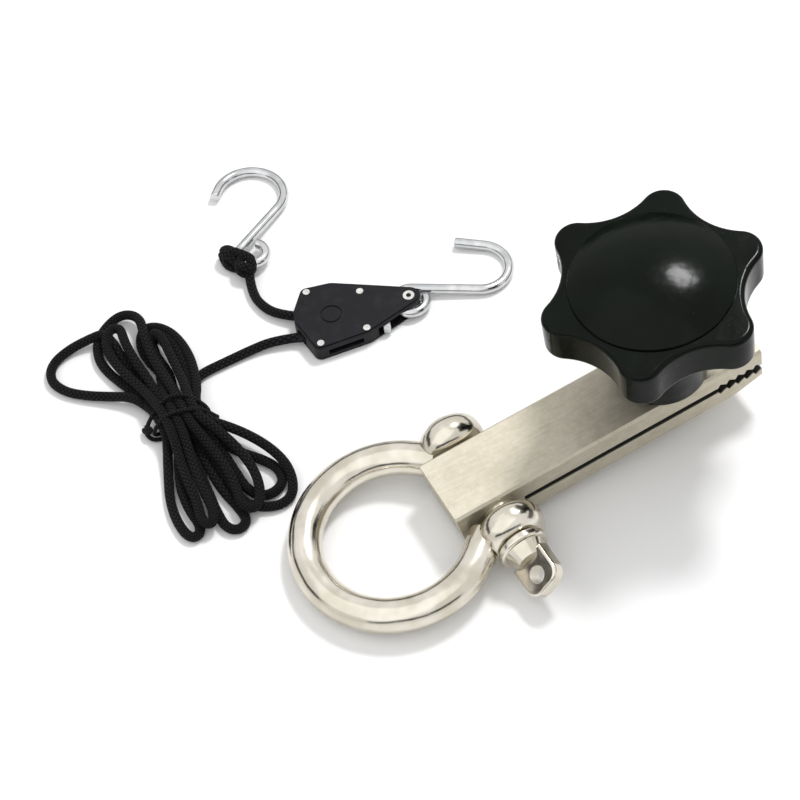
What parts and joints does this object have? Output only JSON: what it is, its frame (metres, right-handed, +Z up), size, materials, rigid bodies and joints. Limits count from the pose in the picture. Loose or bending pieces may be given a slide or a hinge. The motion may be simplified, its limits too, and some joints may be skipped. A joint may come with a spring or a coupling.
{
  "type": "rope hoist kit",
  "caption": "Pocket rope ratchet with two wire hooks and a tied hank of braided rope, and a toothed screw clamp with star knob and bow shackle.",
  "frame": {"origin": "on the underside of the ratchet housing, straight under the sheave's axis; z = 0 is the surface that everything rests on", "axes": "+Z up, along the sheave's axis; +X from the sheave towards the housing's nose side, where the hook hangs; +Y away from the clamp"},
  "size_m": [0.2963, 0.2552, 0.1],
  "materials": {
    "housing": "satin black",
    "rivet": "bright",
    "inner_steel": "plain",
    "sheave": "cast",
    "pawl": "cast",
    "hook_wire": "bright zinc",
    "rope": "braided black",
    "tie": "twisted black",
    "bar": "brushed",
    "knob": "gloss black",
    "shackle": "polished"
  },
  "bodies": {
    "housing": {"back_cover": "housing", "front_cover": "housing", "cover_rivets": "rivet", "nose_rivet": "rivet", "nose_bush": "inner_steel", "sheave_axle": "inner_steel", "pawl_pivot": "inner_steel", "pawl_spring": "inner_steel", "rope_in_ratchet": "rope", "rope_load_line": "rope", "rope_tail_line": "rope", "rope_side_loop": "rope", "rope_knot": "rope", "rope_hank": "rope", "hank_tie": "tie"},
    "sheave": {"sheave": "sheave"},
    "pawl": {"release_pawl": "pawl"},
    "nose_hook": {"ratchet_hook": "hook_wire"},
    "line_hook": {"rope_hook": "hook_wire"},
    "clamp": {"clamp_bar": "bar", "knob_washer": "inner_steel"},
    "jaw": {"lower_jaw": "bar"},
    "knob": {"star_knob": "knob", "knob_insert": "inner_steel", "clamp_screw": "inner_steel"},
    "bow": {"shackle_bow": "shackle"},
    "pin": {"shackle_pin": "shackle"}
  },
  "joints": [
    {"name": "sheave_turn", "type": "hinge", "parent": "housing", "child": "sheave", "pos_m": [0, 0, 0.004], "axis": [0, 0, 1], "continuous": true},
    {"name": "pawl_release", "type": "hinge", "parent": "housing", "child": "pawl", "pos_m": [0.0185, 0.005, 0.004], "axis": [0, 0, 1], "range_deg": [0, 16], "stiffness_Nm_per_rad": 0.004, "deforming": ["pawl_spring"]},
    {"name": "nose_hook_swing", "type": "hinge", "parent": "housing", "child": "nose_hook", "pos_m": [0.034, 0.0043, 0.004], "axis": [0, 0, 1], "range_deg": [-60, 55]},
    {"name": "line_hook_swing", "type": "hinge", "parent": "housing", "child": "line_hook", "pos_m": [-0.0315, 0.0421, 0.0054], "axis": [0, 0, 1], "range_deg": [-40, 12]},
    {"name": "clamp_lift", "type": "slide", "parent": "housing", "child": "clamp", "axis": [0, 0, 1], "range_m": [0, 0.12]},
    {"name": "knob_turn", "type": "hinge", "parent": "clamp", "child": "knob", "pos_m": [0.12952, -0.06986, 0.03121], "axis": [0.0762, 0.0305, -0.9966], "range_deg": [0, 270]},
    {"name": "jaw_close", "type": "hinge", "parent": "clamp", "child": "jaw", "pos_m": [0.06222, -0.09677, 0.0128], "axis": [0.3714, -0.9285, 0], "range_deg": [0, 1.2]},
    {"name": "bow_swing", "type": "hinge", "parent": "clamp", "child": "bow", "pos_m": [0.0509, -0.1013, 0.014], "axis": [-0.3714, 0.9285, 0], "range_deg": [0, 105]},
    {"name": "shackle_pin_draw", "type": "slide", "parent": "bow", "child": "pin", "axis": [0.3714, -0.9285, 0], "range_m": [0, 0.07]}
  ],
  "couplings": [
    {"joint": "jaw_close", "follows": "knob_turn", "ratio": 0.004444}
  ]
}
